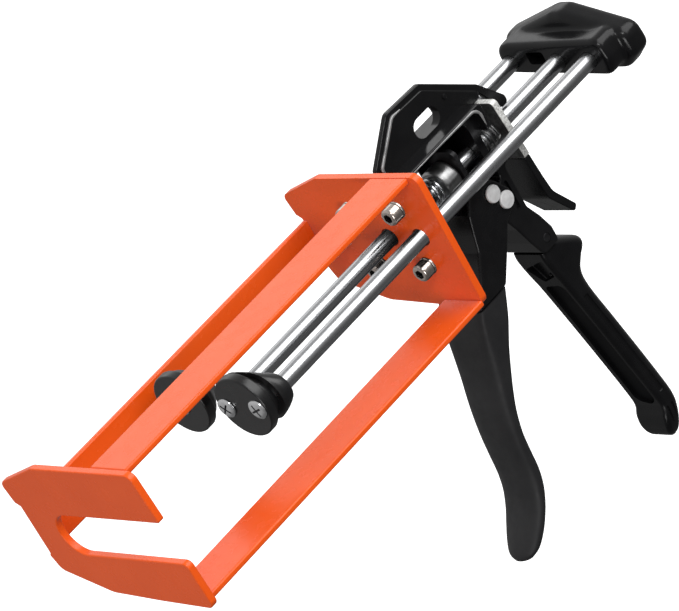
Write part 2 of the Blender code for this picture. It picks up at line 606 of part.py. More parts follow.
def drive_parts(parts, tools):
    bore_r = ROD_D / 2 + 0.35
    x = DRIVE_PIN_X + 2.0 + GAP
    outline = rounded([(DRIVE_Y - 9.4, -17.8, 3), (DRIVE_Y + 9.4, -17.8, 3), (DRIVE_Y + 9.4, 12.6, 4),
                       (DRIVE_Y - 9.4, 12.6, 4)])
    plate = prism("drive_plate", outline, "X", x, x + 2.6, "dark_steel", parts)
    soften(plate, 0.3, 1)
    cut(plate, bore("drive_plate_hole", x - 5, x + 9, DRIVE_Y, 0, 2 * bore_r, tools))
    a, b = x + 2.6 + GAP, x + 12.6
    cup = [(b, bore_r), (a, bore_r), (a, 8.2), (a + 0.6, 8.75), (b - 0.6, 8.75), (b, 8.2)]
    collar_piece = ring("thrust_collar", cup, DRIVE_Y, 0, "dark_steel", parts, 28)
    spring = coil("drive_spring", -13.2, b + GAP + 1.1, DRIVE_Y, 0, 6.0, 1.6, 4.5, "steel", parts)
    return [plate, collar_piece, spring]


def release_parts(parts, tools):
    """Leaning plate round the driven rod, the thumb lever below it and their spring."""
    high = LEVER_PIVOT_Z + 1.0
    outline = rounded([(DRIVE_Y - 11.0, -high, 1.2), (DRIVE_Y + 11.0, -high, 1.2), (DRIVE_Y + 11.0, high, 2),
                       (DRIVE_Y - 11.0, high, 2)])
    plate = prism("release_plate", outline, "X", -80.6, -76.9, "zinc", parts)
    for vertex in plate.data.vertices:
        vertex.co.x += RELEASE_LEAN * vertex.co.z
    soften(plate, 0.4, 1)
    cut(plate, bore("release_plate_hole", -95, -60, DRIVE_Y, 0, ROD_D + 1.6, tools))
    stem = rounded([(-78.6, -16.4, 0.6), (-82.2, -16.4, 0.6), (-83.2, -30.0, 20), (-84.2, -38.6, 10),
                    (-92.6, -52.2, 1.2), (-89.8, -54.6, 1.2), (-84.2, -46.0, 8), (-80.0, -39.6, 8),
                    (-79.2, -28.0, 20)], 6)
    lever = prism("thumb_lever", stem, "Y", DRIVE_Y - 9.8, DRIVE_Y + 9.8, "black", parts)
    soften(lever, 0.9, 1, 40.0)
    spring = coil("release_spring", -75.7, SPRING_SEAT_X - 0.75, DRIVE_Y, 0, 5.4, 0.9, 3.0, "steel", parts)
    return [plate, lever, spring]


def hang(name, at, pieces, where):
    """Empty on a joint's axis that carries the pieces which move with it."""
    mark = bpy.data.objects.new(name, None)
    mark.location = Vector(at) * MM
    where.objects.link(mark)
    for piece in pieces:
        piece.parent = mark
        piece.matrix_parent_inverse = Matrix.Translation(-Vector(at) * MM)


def build():
    for obj in list(bpy.data.objects):
        bpy.data.objects.remove(obj, do_unlink=True)
    parts, tools = collection("caulking_gun"), collection("cutters", True)
    front_plate(parts)
    back_plate(parts, tools)
    rails(parts)
    bolts(parts, tools)
    housing(parts, tools)
    grip(parts, tools)
    grip_pin(parts)
    carriage = rods(parts) + [tail_handle(parts, tools)] + tail_screws(parts, tools)
    carriage.append(pusher("left_pusher", LEFT_Y, (LEFT_Y,), parts, tools))
    carriage.append(pusher("right_pusher", BARREL_Y, (DRIVE_Y, RIGHT_Y), parts, tools))
    carriage += pusher_screws(parts, tools)
    pivot_rivet, drive_rivet = trigger_pins(parts)
    swinging = [trigger_lever(parts, tools), trigger_sleeve(parts, tools), drive_rivet]
    driven = drive_parts(parts, tools)
    released = release_parts(parts, tools)
    hang("rod_axis", (0.0, DRIVE_Y, 0.0), carriage, parts)
    hang("trigger_axis", (PIVOT_X, DRIVE_Y, PIVOT_Z), swinging, parts)
    hang("drive_axis", (DRIVE_PIN_X, DRIVE_Y, 0.0), driven[:2], parts)
    hang("release_axis", (LEVER_PIVOT_X, DRIVE_Y, LEVER_PIVOT_Z), released[:2], parts)


build()
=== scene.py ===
"""Looks of the twin-cartridge caulking gun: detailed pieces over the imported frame, and the studio."""

import math

import bmesh
import bpy
from mathutils import Matrix, Vector


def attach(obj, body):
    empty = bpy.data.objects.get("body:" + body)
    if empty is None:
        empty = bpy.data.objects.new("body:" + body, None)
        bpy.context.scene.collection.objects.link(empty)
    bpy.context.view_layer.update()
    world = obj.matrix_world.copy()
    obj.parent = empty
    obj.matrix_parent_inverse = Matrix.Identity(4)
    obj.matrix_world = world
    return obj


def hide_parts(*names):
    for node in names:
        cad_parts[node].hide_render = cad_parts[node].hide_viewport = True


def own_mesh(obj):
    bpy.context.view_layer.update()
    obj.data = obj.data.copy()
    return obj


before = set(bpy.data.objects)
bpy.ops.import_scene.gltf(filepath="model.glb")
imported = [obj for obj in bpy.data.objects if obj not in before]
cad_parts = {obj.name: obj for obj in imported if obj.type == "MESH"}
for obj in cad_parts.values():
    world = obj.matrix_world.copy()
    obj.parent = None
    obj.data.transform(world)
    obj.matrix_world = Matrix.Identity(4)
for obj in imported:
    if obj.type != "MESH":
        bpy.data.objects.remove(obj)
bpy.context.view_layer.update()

# Lengths are in millimetres in the part's frame, and become metres when a mesh is made.
MM = 0.001
DRIVE_Y = 10.2
LEFT_Y, RIGHT_Y, BARREL_Y = -20.1, 30.0, 20.1
BAY, PLATE_T, PLATE_TOP = 198.0, 3.5, 32.2
SLOT_Z, SLOT_H, SLOT_END_Y = -3.55, 21.5, -24.0
BOLT_SPOTS = [(y, z) for y in (DRIVE_Y + 14.8, DRIVE_Y - 14.8) for z in (15.2, -15.2)]
BOLT_WAY_R = 2.8
FACE_X = 117.0
PUSHER_R, BOSS_R = 15.3, 6.6
ROD_BACK_X, ROD_FRONT_X, ROD_R, ROD_WAY_R = -139.0, 109.0, 4.0, 4.2
TAIL_X = -130.0
PIVOT, PIVOT_WAY_R = (-54.6, -21.0), 2.8
DRIVE_PIN = (-49.4, -14.0)
CHEEK_IN, CHEEK_OUT = 12.4, 14.2
FIN_T = 4.6
GRIP_PIN = (-66.5, -51.5)
SPRING_SEAT_X = -64.2
DRIVE_SEAT_X = -12.4
RELEASE_LEAN = 0.0705

COIL_STEPS = 36         # points along each turn of a spring
WIRE_SIDES = 12
HULL_SIDES = 64
SLEEVE_SIDES = 96

scene = bpy.context.scene
scene.view_settings.view_transform = "Standard"


# ---------- mesh helpers ----------

def new_object(name, mesh):
    made = bpy.data.objects.new(name, mesh)
    scene.collection.objects.link(made)
    return made


def rounded(corners, steps=8):
    out = []
    count = len(corners)
    for i, (u, v, radius) in enumerate(corners):
        here = Vector((u, v))
        before = Vector(corners[i - 1][:2]) - here
        after = Vector(corners[(i + 1) % count][:2]) - here
        if radius <= 0:
            out.append((u, v))
            continue
        half = before.angle(after) / 2
        reach = min(radius / math.tan(half), 0.48 * before.length, 0.48 * after.length)
        used = reach * math.tan(half)
        start, end = here + before.normalized() * reach, here + after.normalized() * reach
        middle = here + (before.normalized() + after.normalized()).normalized() * (used / math.sin(half))
        a, b = start - middle, end - middle
        turn = math.atan2(a.x * b.y - a.y * b.x, a.dot(b))
        for k in range(steps + 1):
            t = turn * k / steps
            out.append((middle.x + a.x * math.cos(t) - a.y * math.sin(t),
                        middle.y + a.x * math.sin(t) + a.y * math.cos(t)))
    return out


def prism(name, outline, along, low, high):
    """Outline pushed from low to high: (y, z) along X, (x, z) along Y."""
    bm = bmesh.new()
    order = {"X": lambda u, v, w: (w, u, v), "Y": lambda u, v, w: (u, w, v)}[along]
    floor = [bm.verts.new(Vector(order(u, v, low)) * MM) for u, v in outline]
    roof = [bm.verts.new(Vector(order(u, v, high)) * MM) for u, v in outline]
    bm.faces.new(floor)
    bm.faces.new(roof)
    for i in range(len(outline)):
        j = (i + 1) % len(outline)
        bm.faces.new((floor[i], floor[j], roof[j], roof[i]))
    bmesh.ops.recalc_face_normals(bm, faces=bm.faces)
    mesh = bpy.data.meshes.new(name)
    bm.to_mesh(mesh)
    bm.free()
    return new_object(name, mesh)


def skin(name, sections, closed=False):
    bm = bmesh.new()
    rows = [[bm.verts.new(Vector(p) * MM) for p in section] for section in sections]
    pairs = list(zip(rows, rows[1:])) + ([(rows[-1], rows[0])] if closed else [])
    for one, two in pairs:
        for i in range(len(one)):
            j = (i + 1) % len(one)
            bm.faces.new((one[i], one[j], two[j], two[i]))
    if not closed:
        bm.faces.new(rows[0])
        bm.faces.new(rows[-1])
    bmesh.ops.recalc_face_normals(bm, faces=bm.faces)
    mesh = bpy.data.meshes.new(name)
    bm.to_mesh(mesh)
    bm.free()
    return new_object(name, mesh)


def turned(name, profile, along, a, b, sides=48, closed=False):
    """Profile of (distance, radius) about an axis: (y, z) = (a, b) along X, (x, z) = (a, b) along Y."""
    sections = []
    for d, r in profile:
        row = []
        for k in range(sides):
            t = 2 * math.pi * k / sides
            c, s = r * math.cos(t), r * math.sin(t)
            row.append((d, a + c, b + s) if along == "X" else (a + c, d, b + s))
        sections.append(row)
    return skin(name, sections, closed)


def coil(name, x0, x1, y, z, radius, wire, turns, dead=0.9):
    """Compression spring: closed coils at both ends, open between."""
    steps = int(turns * COIL_STEPS)
    way = 1 if x1 > x0 else -1
    touching = wire * 1.02      # pitch of the closed coils
    sections = []
    for i in range(steps + 1):
        turn = turns * i / steps
        lead = min(max((turn - dead) / (turns - 2 * dead), 0.0), 1.0)
        lead = lead * lead * (3 - 2 * lead) * 0.35 + lead * 0.65
        ends = touching * (min(turn, dead) + max(turn - turns + dead, 0.0))
        body = (x1 - x0) - touching * 2 * dead * way
        x = x0 + ends * way + body * lead
        a = 2 * math.pi * turn
        out = Vector((0.0, math.cos(a), math.sin(a)))
        ring = []
        for k in range(WIRE_SIDES):
            b = 2 * math.pi * k / WIRE_SIDES
            ring.append(tuple(Vector((x, y, z)) + out * (radius + wire / 2 * math.cos(b))
                              + Vector((wire / 2 * math.sin(b), 0, 0))))
        sections.append(ring)
    return skin(name, sections)


def bead(name, path, y, radius):
    """Round bead that follows a path of (x, z) points at one y."""
    angles = [2 * math.pi * (k + 0.5) / WIRE_SIDES for k in range(WIRE_SIDES)]
    sections = []
    for i, (x, z) in enumerate(path):
        before, after = path[max(i - 1, 0)], path[min(i + 1, len(path) - 1)]
        along = Vector((after[0] - before[0], after[1] - before[1])).normalized()
        size = radius * (0.3 if i in (0, len(path) - 1) else 1.0)
        sections.append([(x - along.y * size * math.cos(a), y + size * math.sin(a),
                          z + along.x * size * math.cos(a)) for a in angles])
    return skin(name, sections)


def boolean(body, tool, operation="DIFFERENCE"):
    step = body.modifiers.new("b", "BOOLEAN")
    step.operation = operation
    step.solver = "EXACT"
    step.object = tool
    settle(body)
    bpy.data.objects.remove(tool, do_unlink=True)


def cut(body, *tools):
    for tool in tools:
        boolean(body, tool)


def join(body, *tools):
    for tool in tools:
        boolean(body, tool, "UNION")


def settle(body):
    """Make the modifiers part of the mesh."""
    graph = bpy.context.evaluated_depsgraph_get()
    mesh = bpy.data.meshes.new_from_object(body.evaluated_get(graph))
    body.modifiers.clear()
    old = body.data
    body.data = mesh
    bpy.data.meshes.remove(old)


def soften(body, width, segments=3, angle=30.0):
    step = body.modifiers.new("bevel", "BEVEL")
    step.width = width * MM
    step.segments = segments
    step.limit_method = "ANGLE"
    step.angle_limit = math.radians(angle)
    step.use_clamp_overlap = True
    step.harden_normals = False
    settle(body)


def smooth(body, angle=35.0, weighted=True):
    body.data.shade_smooth()
    body.data.set_sharp_from_angle(angle=math.radians(angle))
    if weighted:
        step = body.modifiers.new("normals", "WEIGHTED_NORMAL")
        step.keep_sharp = True
        step.weight = 60
    return body


def melt(body, voxel, rounds):
    """Remesh and relax, which leaves moulded fillets where shapes meet."""
    step = body.modifiers.new("remesh", "REMESH")
    step.mode = "VOXEL"
    step.voxel_size = voxel * MM
    step = body.modifiers.new("relax", "SMOOTH")
    step.factor = 0.5
    step.iterations = rounds
    settle(body)


def done(piece, body, slot, material, *nodes, angle=35.0, weighted=True):
    smooth(piece, angle, weighted)
    piece.data.materials.clear()
    piece.data.materials.append(material)
    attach(piece, body)
    if nodes:
        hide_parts(*nodes)
    piece.visible_glossy = material is not ORANGE       # keeps the orange out of the rods' reflections
    return piece


# ---------- materials ----------

class Maker:
    """Node tree with object coordinates in metres."""

    def __init__(self, name, metallic, roughness, colour, **sockets):
        self.material = bpy.data.materials.new(name)
        self.material.use_nodes = True
        self.tree = self.material.node_tree
        self.shader = self.tree.nodes["Principled BSDF"]
        self.shader.inputs["Metallic"].default_value = metallic
        self.shader.inputs["Roughness"].default_value = roughness
        self.shader.inputs["Base Color"].default_value = (*colour, 1)
        for key, value in sockets.items():
            self.shader.inputs[key.replace("_", " ")].default_value = value
        self.place = self.tree.nodes.new("ShaderNodeTexCoord").outputs["Object"]

    def link(self, a, b):
        self.tree.links.new(a, b)

    def stretched(self, scale):
        node = self.tree.nodes.new("ShaderNodeMapping")
        node.inputs["Scale"].default_value = scale
        self.link(self.place, node.inputs["Vector"])
        return node.outputs["Vector"]

    def noise(self, scale, detail=3.0, rough=0.55, stretch=None):
        node = self.tree.nodes.new("ShaderNodeTexNoise")
        node.inputs["Scale"].default_value = scale
        node.inputs["Detail"].default_value = detail
        node.inputs["Roughness"].default_value = rough
        self.link(self.stretched(stretch) if stretch else self.place, node.inputs["Vector"])
        return node.outputs["Fac"]

    def cells(self, scale, output="Distance"):
        node = self.tree.nodes.new("ShaderNodeTexVoronoi")
        node.inputs["Scale"].default_value = scale
        self.link(self.place, node.inputs["Vector"])
        return node.outputs[output]

    def ramp(self, value, stops):
        node = self.tree.nodes.new("ShaderNodeValToRGB")
        ramp = node.color_ramp
        while len(ramp.elements) < len(stops):
            ramp.elements.new(0.5)
        for element, (at, colour) in zip(ramp.elements, stops):
            element.position = at
            element.color = (*colour, 1) if len(colour) == 3 else colour
        self.link(value, node.inputs["Fac"])
        return node.outputs["Color"]

    def spread(self, value, low, high, low_from=0.3, high_from=0.7):
        node = self.tree.nodes.new("ShaderNodeMapRange")
        node.inputs["From Min"].default_value = low_from
        node.inputs["From Max"].default_value = high_from
        node.inputs["To Min"].default_value = low
        node.inputs["To Max"].default_value = high
        self.link(value, node.inputs["Value"])
        return node.outputs["Result"]

    def bump(self, *layers):
        """Layers of (height, strength, depth in millimetres)."""
        before = None
        for height, strength, depth in layers:
            node = self.tree.nodes.new("ShaderNodeBump")
            node.inputs["Strength"].default_value = strength
            node.inputs["Distance"].default_value = depth * MM
            self.link(height, node.inputs["Height"])
            if before is not None:
                self.link(before, node.inputs["Normal"])
            before = node.outputs["Normal"]
        self.link(before, self.shader.inputs["Normal"])

    def colour(self, value):
        self.link(value, self.shader.inputs["Base Color"])

    def roughness(self, value):
        self.link(value, self.shader.inputs["Roughness"])


def orange_paint():
    m = Maker("orange_powder_coat", 0.0, 0.25, (0.86, 0.1, 0.008), Specular_IOR_Level=0.32)
    m.colour(m.ramp(m.noise(30.0, 3.0), [(0.3, (0.84, 0.094, 0.006)), (0.7, (0.90, 0.106, 0.008))]))
    m.roughness(m.spread(m.noise(150.0, 3.0), 0.22, 0.30))
    m.bump((m.noise(900.0, 2.0), 0.05, 0.02), (m.noise(180.0, 2.0), 0.05, 0.03))
    return m.material


def black_paint(name, rough, depth, level):
    m = Maker(name, 0.0, rough, (0.006, 0.006, 0.007), Specular_IOR_Level=level)
    m.colour(m.ramp(m.noise(60.0, 4.0), [(0.3, (0.004, 0.004, 0.0045)), (0.72, (0.007, 0.007, 0.0075))]))
    m.roughness(m.spread(m.noise(240.0, 4.0), rough - 0.04, rough + 0.06))
    m.bump((m.noise(1300.0, 2.0), 0.08, depth), (m.noise(230.0, 2.0), 0.08, depth))
    return m.material


def bright_rod():
    m = Maker("plated_rod", 1.0, 0.2, (0.6, 0.6, 0.61), Anisotropic=0.3)
    drawn = m.noise(1.0, 3.0, 0.6, (12.0, 900.0, 900.0))
    m.colour(m.ramp(drawn, [(0.3, (0.40, 0.405, 0.415)), (0.7, (0.49, 0.495, 0.505))]))
    m.roughness(m.spread(m.noise(1.0, 3.0, 0.6, (60.0, 500.0, 500.0)), 0.24, 0.30))
    m.bump((m.noise(1.0, 2.0, 0.5, (900.0, 60.0, 60.0)), 0.01, 0.005))
    return m.material


def plated(name, tint, rough, metallic=1.0):
    m = Maker(name, metallic, rough, tint)
    low = tuple(0.82 * c for c in tint)
    m.colour(m.ramp(m.noise(420.0, 4.0), [(0.3, low), (0.7, tint)]))
    m.roughness(m.spread(m.noise(700.0, 4.0), rough - 0.04, rough + 0.06))
    m.bump((m.noise(900.0, 2.0), 0.04, 0.01))
    return m.material


def galvanised():
    """Bright zinc spangle on the cut edges; the front and back faces are darkened as painted shade."""
    m = Maker("galvanised_plate", 0.35, 0.5, (0.7, 0.7, 0.68))
    split = m.tree.nodes.new("ShaderNodeSeparateXYZ")
    m.link(m.tree.nodes["Texture Coordinate"].outputs["Normal"], split.inputs["Vector"])
    painted_shade_front_back = m.tree.nodes.new("ShaderNodeMath")
    painted_shade_front_back.operation = "ABSOLUTE"
    m.link(split.outputs["X"], painted_shade_front_back.inputs[0])
    # Faces that look along X take the dark colour: painted shade, not a finish of the zinc.
    mix = m.tree.nodes.new("ShaderNodeMix")
    mix.data_type = "RGBA"
    m.link(m.spread(painted_shade_front_back.outputs["Value"], 0.0, 1.0, 0.5, 0.9), mix.inputs["Factor"])
    m.link(m.ramp(m.cells(1100.0, output="Color"), [(0.2, (0.55, 0.55, 0.53)), (0.8, (0.92, 0.92, 0.89))]),
           mix.inputs["A"])
    m.link(m.ramp(m.noise(700.0, 4.0), [(0.3, (0.02, 0.02, 0.02)), (0.7, (0.08, 0.08, 0.08))]),
           mix.inputs["B"])
    m.colour(mix.outputs["Result"])
    m.roughness(m.spread(m.noise(900.0, 4.0), 0.4, 0.6))
    m.bump((m.cells(1500.0), 0.2, 0.04), (m.noise(2500.0, 3.0), 0.2, 0.02))
    return m.material


def dark_steel():
    m = Maker("turned_steel", 1.0, 0.36, (0.3, 0.3, 0.3), Anisotropic=0.3)
    m.colour(m.ramp(m.noise(1.0, 3.0, 0.6, (900.0, 60.0, 60.0)),
                    [(0.3, (0.24, 0.24, 0.24)), (0.7, (0.34, 0.34, 0.34))]))
    m.roughness(m.spread(m.noise(300.0, 4.0), 0.3, 0.42))
    m.bump((m.noise(1.0, 2.0, 0.5, (3000.0, 120.0, 120.0)), 0.05, 0.01))
    return m.material


def blacked_steel_and_recess_shade():
    # Blacked steel for the drive plate and grip pin; the same dark also lines the bolt sockets and screw
    # recesses as painted shade.
    m = Maker("blacked_steel_and_recess_shade", 0.6, 0.38, (0.02, 0.02, 0.02), Specular_IOR_Level=0.3)
    m.colour(m.ramp(m.noise(320.0, 4.0), [(0.3, (0.012, 0.012, 0.013)), (0.7, (0.03, 0.03, 0.032))]))
    m.roughness(m.spread(m.noise(500.0, 4.0), 0.3, 0.46))
    m.bump((m.noise(1600.0, 2.0), 0.1, 0.02))
    return m.material


def painted_highlight_edge():
    # Lighter grey metal for the beads on the black casting: painted highlight lines along its edges.
    m = Maker("painted_highlight_edge", 0.5, 0.34, (0.3, 0.3, 0.3), Specular_IOR_Level=0.5)
    m.colour(m.ramp(m.noise(150.0, 4.0), [(0.35, (0.14, 0.14, 0.14)), (0.65, (0.34, 0.34, 0.34))]))
    m.roughness(m.spread(m.noise(500.0, 4.0), 0.28, 0.42))
    m.bump((m.noise(1500.0, 2.0), 0.08, 0.01))
    return m.material


def satin_sleeve():
    m = Maker("satin_moulding", 0.0, 0.42, (0.014, 0.014, 0.015), Specular_IOR_Level=0.3)
    m.colour(m.ramp(m.noise(70.0, 4.0), [(0.3, (0.011, 0.011, 0.012)), (0.7, (0.018, 0.018, 0.019))]))
    m.roughness(m.spread(m.noise(260.0, 4.0), 0.48, 0.60))
    m.bump((m.cells(2100.0), 0.12, 0.03), (m.noise(500.0, 3.0), 0.08, 0.03))
    return m.material


ORANGE = orange_paint()
CASTING = black_paint("black_casting", 0.2, 0.03, 0.25)
MOULDING = black_paint("black_moulding", 0.2, 0.03, 0.22)
PRESSING = black_paint("black_pressing", 0.26, 0.03, 0.2)
PUSHER = black_paint("pusher_moulding", 0.3, 0.03, 0.5)
GRIP_BLACK = black_paint("black_grip", 0.26, 0.03, 0.16)
SLEEVE = satin_sleeve()
BLACKED_STEEL_AND_SHADE = blacked_steel_and_recess_shade()
PAINTED_HIGHLIGHT = painted_highlight_edge()
# Warm tint on the bolts and washers: painted reflection of the orange plates, which are kept out of glossy
# rays; under it is the zinc's grey.
BOLT_ZINC_PAINTED_REFLECTION = plated("bolt_zinc_orange_reflection", (0.60, 0.52, 0.47), 0.24)
RIVET = plated("rivet_zinc", (0.85, 0.85, 0.85), 0.42, 0.35)
MATT = black_paint("matt_panel", 0.55, 0.05, 0.06)
ROD = bright_rod()
ZINC = plated("bright_zinc", (0.80, 0.80, 0.81), 0.2)
WIRE = plated("spring_wire", (0.55, 0.56, 0.58), 0.24)
DARK = dark_steel()
SPANGLE = galvanised()


# ---------- orange carriage ----------

def plate_left():
    """The lower and left part of both plates' outline."""
    return [(18.0, -36.9, 30), (-12.5, -34.8, 14), (-39.4, -24.4, 5), (-41.8, -16.4, 0.8),
            (-40.6, -15.2, 0.6), (-40.6, 10.4, 0.6), (-43.2, 12.4, 0.8), (-44.8, 23.2, 3.5),
            (-17.5, PLATE_TOP, 6)]


def carriage():
    top, bottom = SLOT_Z + SLOT_H / 2, SLOT_Z - SLOT_H / 2
    front = prism("front_plate_painted",
                  rounded([(47.3, PLATE_TOP, 4), (48.8, top, 1.2), (SLOT_END_Y, top, SLOT_H / 2 - 0.3),
                           (SLOT_END_Y, bottom, SLOT_H / 2 - 0.3), (49.6, bottom, 3), (50.6, -38.4, 3.5)]
                          + plate_left(), 10), "X", BAY - PLATE_T, BAY)
    soften(front, 0.9, 4)
    done(front, "frame", "carriage", ORANGE, "front_plate")
    back = prism("back_plate_painted", rounded([(47.0, PLATE_TOP, 4), (46.0, -37.6, 4.5)] + plate_left(), 10),
                 "X", -PLATE_T, 0.0)
    for y in (LEFT_Y, DRIVE_Y, RIGHT_Y):
        cut(back, turned("t", [(-9, 4.6), (5, 4.6)], "X", y, 0, 48))
    for y, z in BOLT_SPOTS:
        cut(back, turned("t", [(-9, BOLT_WAY_R), (5, BOLT_WAY_R)], "X", y, z, 32))
    soften(back, 0.9, 4)
    done(back, "frame", "carriage", ORANGE, "back_plate")
    sections = {"top_rail": (18.8, 42.2, PLATE_TOP - 3.0, PLATE_TOP), "side_rail": (-40.5, -37.5, -14.4, 9.6),
                "bottom_rail": (22.6, 46.6, -37.0, -34.0)}
    for name, (y0, y1, z0, z1) in sections.items():
        strip = prism(name + "_painted", [(y0, z0), (y1, z0), (y1, z1), (y0, z1)], "X",
                      -0.1, BAY - PLATE_T + 0.1)
        soften(strip, 0.95, 4)
        done(strip, "frame", "carriage", ORANGE, name)


def fasteners():
    for i, (y, z) in enumerate(BOLT_SPOTS):
        washer = turned("washer_%d" % (i + 1), [(0.0, 2.7), (0.0, 4.2), (0.2, 4.35), (0.9, 4.35), (1.1, 4.2),
                                                (1.1, 2.7)], "X", y, z, 64, closed=True)
        done(washer, "frame", "fastener", BOLT_ZINC_PAINTED_REFLECTION, "bolt_washer_%d" % (i + 1))
        bolt = turned("hex_socket_bolt_%d" % (i + 1),
                      [(-15.4, 1.9), (-14.8, 2.5), (1.3, 2.5), (1.31, 4.1), (1.5, 4.25), (5.6, 4.25),
                       (6.2, 4.1), (6.6, 3.75), (6.85, 3.3), (6.9, 2.9)], "X", y, z, 96)
        hexagon = [(y + 2.4 * math.cos(math.pi * k / 3 + 0.4), z + 2.4 * math.sin(math.pi * k / 3 + 0.4))
                   for k in range(6)]
        cut(bolt, prism("t", hexagon, "X", 3.6, 8))
        done(bolt, "frame", "fastener", BOLT_ZINC_PAINTED_REFLECTION, "cap_bolt_%d" % (i + 1), angle=30)
        # Thin black skin on the socket's walls and floor: painted shade in the hex recess.
        socket_shade = prism("hex_socket_painted_shade_%d" % (i + 1), hexagon, "X", 3.5, 8)
        inner = [(y + (u - y) * 0.93, z + (v - z) * 0.93) for u, v in hexagon]
        cut(socket_shade, prism("t", inner, "X", 3.8, 9), turned("t", [(6.0, 9.0), (9.0, 9.0)], "X", y, z, 24))
        done(socket_shade, "frame", "fastener", BLACKED_STEEL_AND_SHADE, "cap_bolt_%d" % (i + 1))


# ---------- casting ----------

def bolt_boss(cage, y, z):
    join(cage, turned("t", [(-12.6, 4.4), (-12.4, 5.0), (-12.0, 5.4), (-4.2, 5.4)], "X", y, z, 40))
    cut(cage, turned("t", [(-30, BOLT_WAY_R), (2, BOLT_WAY_R)], "X", y, z, 32))


def housing():
    low, high = DRIVE_Y - 12.0, DRIVE_Y + 12.0
    cage = prism("housing_casting", rounded(
        [(-4.6, -21.0, 1), (-4.6, 21.5, 1), (-70.0, 21.5, 3), (-70.0, -8.6, 2), (-65.4, -10.8, 2),
         (-65.4, -33.0, 6), (-69.4, -41.0, 6), (-72.4, -49.5, 2), (-72.4, -57.0, 2), (-61.0, -57.0, 4),
         (-57.5, -48.0, 8), (-54.2, -38.0, 6), (-49.6, -27.0, 3), (-48.4, -20.6, 2.5), (-53.0, -15.6, 2),
         (-60.0, -14.0, 3), (-60.0, 19.4, 8), (-11.5, 19.4, 3), (-11.5, -21.0, 1)], 8), "Y", low, high)
    soften(cage, 1.0, 4)
    flange = prism("t", rounded([(-10.4, -21.0, 3), (30.8, -21.0, 3), (30.8, 21.3, 3), (-10.4, 21.3, 3)]),
                   "X", -8.2, -3.8)
    soften(flange, 0.8, 3)
    fin = prism("t", rounded([(-9.7, 18.0, 0), (-9.7, 28.2, 2), (-29.6, 44.6, 4), (-53.0, 43.8, 4),
                              (-81.6, 22.6, 5), (-92.8, 8.6, 3), (-92.6, 5.0, 1.8), (-88.4, 4.8, 1.4),
                              (-84.4, 10.6, 4), (-80.0, 19.5, 2), (-68.0, 19.5, 0)], 8), "Y",
                DRIVE_Y - FIN_T / 2 + 0.8, DRIVE_Y + FIN_T / 2 - 0.8)
    soften(fin, 0.7, 3)
    field = prism("t", rounded([(-12.6, 17.0, 0), (-12.6, 27.0, 2), (-30.6, 41.8, 3), (-52.2, 41.0, 4),
                                (-79.6, 20.6, 4), (-79.0, 17.0, 0)], 8), "Y", DRIVE_Y - FIN_T / 2,
                  DRIVE_Y + FIN_T / 2)
    soften(field, 0.75, 5, 40)
    join(cage, flange, fin, field)
    # Beads in the lighter grey along the fin's front edges and the window's mouth: painted highlight lines.
    edge = rounded([(-12.8, 18.0, 0), (-12.8, 27.2, 2), (-30.8, 41.8, 3), (-37.0, 41.7, 0)], 6)
    done(bead("fin_edge_line", edge, DRIVE_Y + FIN_T / 2 - 0.25, 0.8), "frame", "casting", PAINTED_HIGHLIGHT, "housing")
    mouth = rounded([(-11.0, 20.2, 0), (-67.2, 20.2, 8), (-67.2, 10.5, 0)], 10)
    done(bead("cage_mouth_line", mouth, high - 0.2, 0.75), "frame", "casting", PAINTED_HIGHLIGHT, "housing")
    for y, z in BOLT_SPOTS:
        bolt_boss(cage, y, z)
    stud = turned("t", [(DRIVE_Y, 1.3), (DRIVE_Y + 2.6, 1.3), (DRIVE_Y + 3.0, 1.1), (DRIVE_Y + 3.1, 0.6)],
                  "Y", -61.5, 30.6, 24)
    join(cage, stud)
    cut(cage, prism("t", rounded([(-54.8, 22.9, 4.6), (-54.8, 32.6, 4.8), (-37.8, 32.6, 4.8),
                                  (-37.8, 22.9, 4.6)]), "Y", 0, 20))
    cut(cage, turned("t", [(-99, 4.5), (2, 4.5)], "X", DRIVE_Y, 0, 40))
    cut(cage, turned("t", [(-90, 5.5), (2, 5.5)], "X", RIGHT_Y, 0, 40))
    cut(cage, turned("t", [(-72, 6.7), (SPRING_SEAT_X, 6.7)], "X", DRIVE_Y, 0, 48))
    cut(cage, prism("t", rounded([(-75.0, -7.0, 0), (SPRING_SEAT_X, -7.0, 2), (SPRING_SEAT_X, 9.0, 4),
                                  (-75.0, 9.0, 0)]), "Y", DRIVE_Y + 1.5, high + 1))
    side_opening = prism("t", rounded([(-58.0, 19.4, 0), (-66.4, 19.4, 7), (-66.4, -7.0, 0),
                                       (-58.0, -7.0, 0)]), "Y", high - 4, high + 1)
    cut(cage, side_opening)
    web = prism("t", [(-69.0, -9.0), (-69.0, 20.0), (-38.0, 20.0), (-41.0, -9.0)], "Y", low, low + 1.0)
    join(cage, web)
    cut(cage, turned("t", [(-20, PIVOT_WAY_R), (40, PIVOT_WAY_R)], "Y", *PIVOT, 40))
    cut(cage, turned("t", [(-20, 2.2), (40, 2.2)], "Y", *GRIP_PIN, 32))
    for a, b in ((low - 3, low + 1.1), (high - 1.1, high + 3)):
        cut(cage, prism("t", rounded([(-59.4, -31.0, 1.2), (-62.0, -31.0, 1.2), (-62.0, -15.5, 1.2),
                                      (-59.4, -15.5, 1.2)]), "Y", a, b))
    soften(cage, 0.4, 3, 50)
    done(cage, "frame", "casting", CASTING, "housing")


